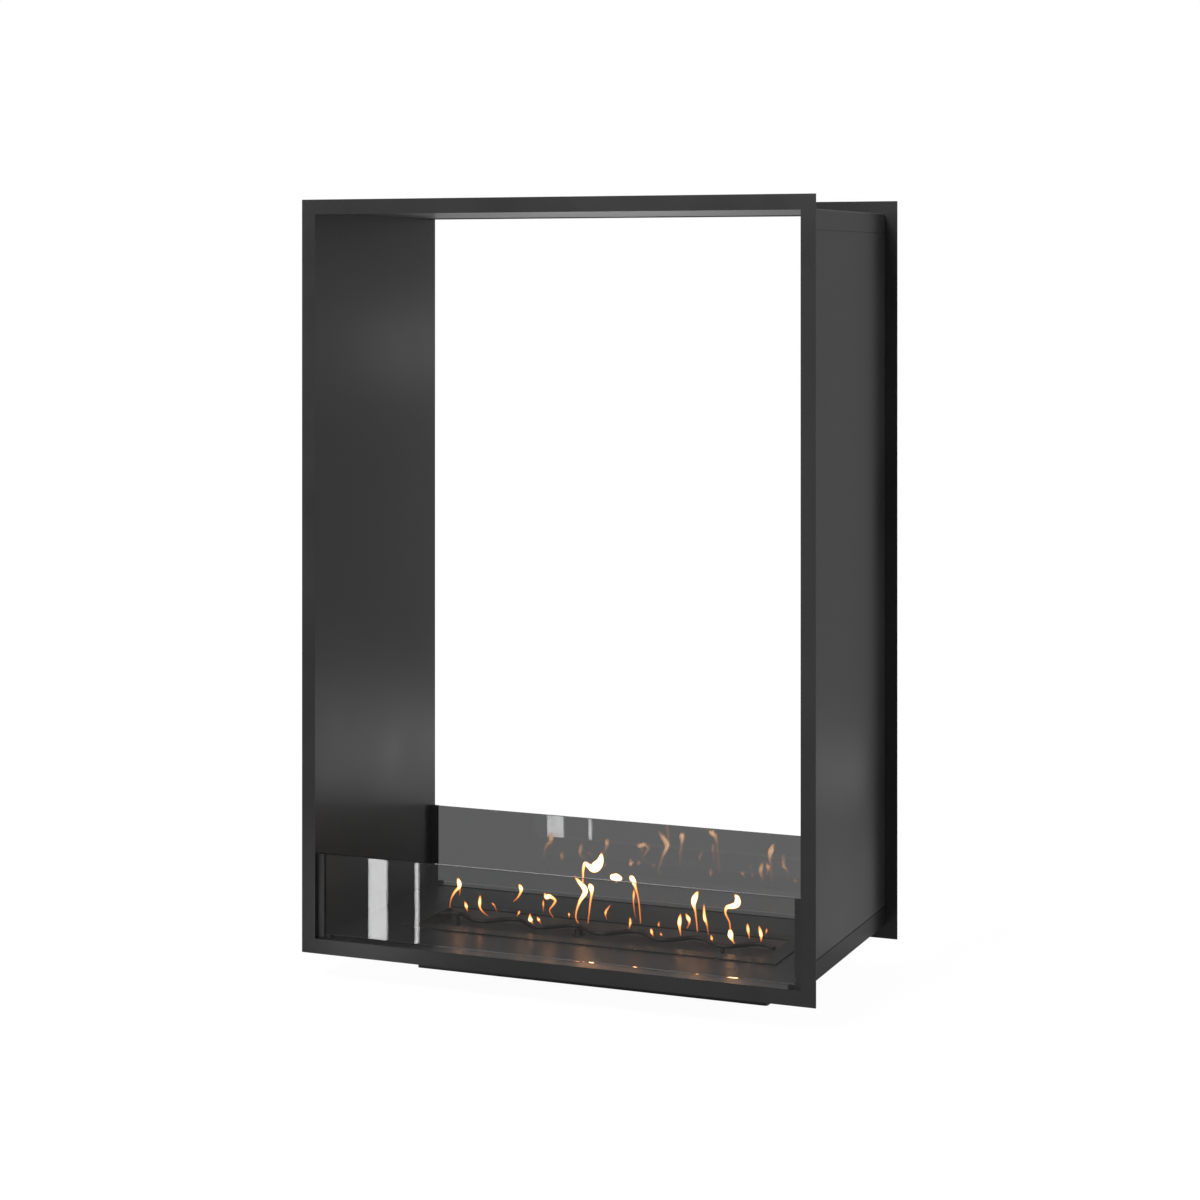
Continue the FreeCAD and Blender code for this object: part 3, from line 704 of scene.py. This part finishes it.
def white_sweep():
    """The floor: white in the camera, with a share of real shadow near the object."""
    half = SWEEP_SPAN / 2
    mesh = bpy.data.meshes.new("white_sweep")
    corners = [(-half, -half, 0), (half, -half, 0), (half, half, 0), (-half, half, 0)]
    mesh.from_pydata(corners, [], [(0, 1, 2, 3)])
    floor = bpy.data.objects.new("white_sweep", mesh)
    bpy.context.scene.collection.objects.link(floor)
    material, tree, shader = new_material("white_sweep_paint")
    shader.inputs["Base Color"].default_value = (SWEEP_WHITE, SWEEP_WHITE, SWEEP_WHITE, 1)
    shader.inputs["Roughness"].default_value = SWEEP_ROUGH
    shader.inputs["Specular IOR Level"].default_value = 0.0
    path = add_node(tree, "ShaderNodeLightPath", (-700, 300))
    where = add_node(tree, "ShaderNodeTexCoord", (-1100, 0))
    away = add_node(tree, "ShaderNodeVectorMath", (-900, 0), operation="LENGTH")
    fade = add_node(tree, "ShaderNodeMapRange", (-700, 0), interpolation_type="SMOOTHSTEP")
    fade.inputs["From Min"].default_value = SHADOW_NEAR
    fade.inputs["From Max"].default_value = SHADOW_FAR
    fade.inputs["To Min"].default_value = 1 - SHADOW_SHARE
    fade.inputs["To Max"].default_value = 1.0
    seen = add_node(tree, "ShaderNodeMath", (-400, 100), operation="MULTIPLY")
    glow = add_node(tree, "ShaderNodeEmission", (0, 200))
    glow.inputs["Strength"].default_value = SWEEP_GLOW
    mix = add_node(tree, "ShaderNodeMixShader", (320, 200))
    tree.links.new(where.outputs["Object"], away.inputs[0])
    tree.links.new(away.outputs["Value"], fade.inputs["Value"])
    tree.links.new(path.outputs["Is Camera Ray"], seen.inputs[0])
    tree.links.new(fade.outputs["Result"], seen.inputs[1])
    tree.links.new(seen.outputs[0], mix.inputs["Fac"])
    tree.links.new(shader.outputs["BSDF"], mix.inputs[1])
    tree.links.new(glow.outputs["Emission"], mix.inputs[2])
    tree.links.new(mix.outputs["Shader"], tree.nodes["Material Output"].inputs["Surface"])
    mesh.materials.append(material)
    floor.visible_glossy = False
    floor.visible_transmission = False


def soft_box(name, place, aim, width, height, power):
    """A rectangular lamp that faces the point it is aimed at."""
    light = bpy.data.lights.new(name, "AREA")
    light.shape = "RECTANGLE"
    light.size = width
    light.size_y = height
    light.energy = power
    lamp = bpy.data.objects.new(name, light)
    lamp.location = place
    lamp.rotation_euler = (Vector(aim) - Vector(place)).to_track_quat("-Z", "Y").to_euler()
    lamp.visible_camera = False
    bpy.context.scene.collection.objects.link(lamp)
    return lamp


def floor_strip(name, start, stop, width, radiance):
    """A strip lamp that lies on the floor from one point to the other and shines up."""
    way = Vector(stop) - Vector(start)
    middle = (Vector(start) + Vector(stop)) / 2
    power = radiance * width * way.length * math.pi
    lamp = soft_box(name, (*middle, STRIP_RISE), (*middle, 1), width, way.length, power)
    lamp.rotation_euler = (math.pi, 0, -math.atan2(way.x, way.y))


grey_room()
white_sweep()
soft_box("front_key", place=(-0.6, -4.6, 4.0), aim=(0, 0, 0.8), width=1.6, height=1.2, power=190)
soft_box("left_key", place=(-4.4, -2.2, 1.2), aim=(0, 0, 0.7), width=1.2, height=1.2, power=60)
soft_box("right_fill", place=(4.2, 0.6, 2.0), aim=(0.4, 0, 0.7), width=1.4, height=2.2, power=70)
soft_box("wall_glow", place=(0.17, 1.5, 1.14), aim=(-0.47, 0.2, 1.18), width=0.14, height=0.16, power=0.12)
soft_box("wall_wash", place=(0.29, 1.5, 0.95), aim=(-0.47, 0, 0.95), width=0.4, height=0.9, power=0.1)
soft_box("jamb_fill", place=(-0.9, -4.6, 0.35), aim=(0.45, -0.25, 0.7), width=0.9, height=1.2, power=2.4)
soft_box("edge_light", place=(-3.2, 8.0, 2.25), aim=(0, 0, 0.25), width=4.0, height=0.2, power=2.8)
for bar, x, width, power in (("light_bar", -0.6935, 0.0435, 0.26), ("light_bar_thin", -0.601, 0.008, 0.048)):
    soft_box(bar, place=(x, BAR_FRONT, BAR_MIDDLE), aim=(x, 0, BAR_MIDDLE), width=width, height=BAR_HEIGHT,
             power=power)
floor_strip("wall_floor_glow", start=(0.3, 1.5), stop=(0.8, 2.45), width=0.55, radiance=1.6)
floor_strip("side_floor_glow", start=(0.6, 0.35), stop=(0.9, 1.3), width=0.3, radiance=0.15)
floor_strip("ceiling_floor_glow", start=(-0.6, 1.45), stop=(-1.15, 2.8), width=0.6, radiance=6.5)


# Camera at the photograph's place: level, a little right of the front, with the frame slid down
# so that the upright edges stay upright.
CAMERA_PLACE = (1.874, -4.584, 1.318)
CAMERA_TURN = 22.29
CAMERA_LENS = 79.08
CAMERA_SLIDE = -0.2709
SENSOR_WIDTH = 36.0

camera_data = bpy.data.cameras.new("photo_camera")
camera_data.sensor_width = SENSOR_WIDTH
camera_data.lens = CAMERA_LENS
camera_data.shift_y = CAMERA_SLIDE
camera = bpy.data.objects.new("photo_camera", camera_data)
camera.location = CAMERA_PLACE
camera.rotation_euler = (math.radians(90), 0, math.radians(CAMERA_TURN))
bpy.context.scene.collection.objects.link(camera)
bpy.context.scene.camera = camera
bpy.context.scene.view_settings.view_transform = "Standard"
